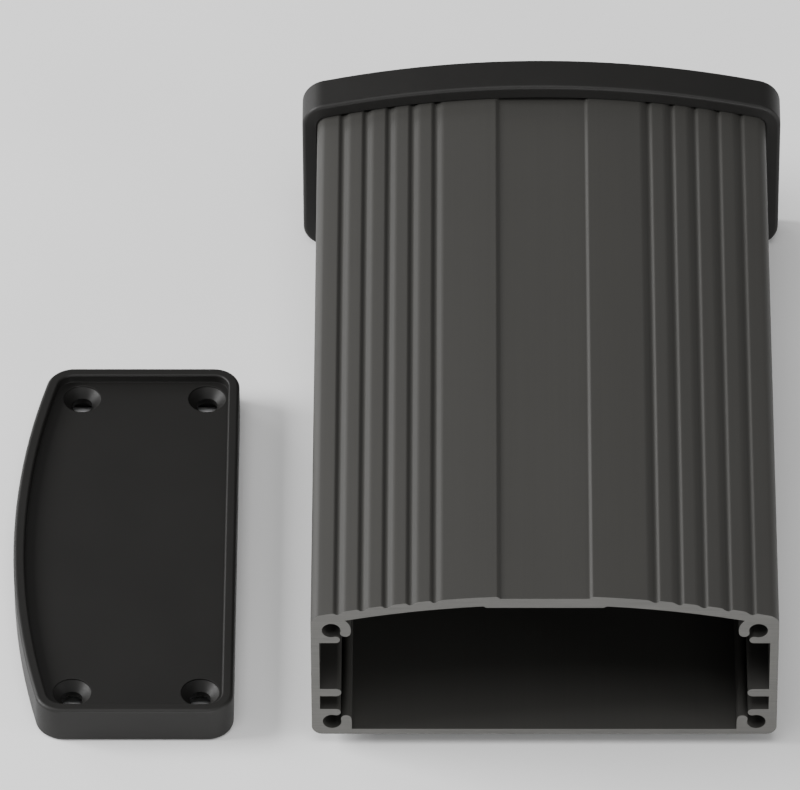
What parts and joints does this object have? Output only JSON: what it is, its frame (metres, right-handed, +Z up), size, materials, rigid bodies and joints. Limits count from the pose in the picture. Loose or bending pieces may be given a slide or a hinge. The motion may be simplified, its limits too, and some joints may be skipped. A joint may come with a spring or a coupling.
{
  "type": "extruded aluminium enclosure",
  "caption": "Curved-top extruded aluminium case for circuit boards, open at the front, with a screwed-on rear end cap and the matching front cap lying beside it.",
  "frame": {"origin": "middle of the case's underside", "axes": "+X across the case, +Y along it from the open front end to the rear cap, +Z up"},
  "size_m": [0.1766, 0.1736, 0.0509],
  "materials": {
    "case_coat": "dark warm grey satin coat with a fine grain",
    "cap_plastic": "near-black moulded plastic, softly satin",
    "screw_steel": "black oxide"
  },
  "bodies": {
    "root": {"profile": "case_coat", "rear_cap": "cap_plastic", "rear_cap_screws": "screw_steel", "front_cap": "cap_plastic"}
  },
  "joints": []
}
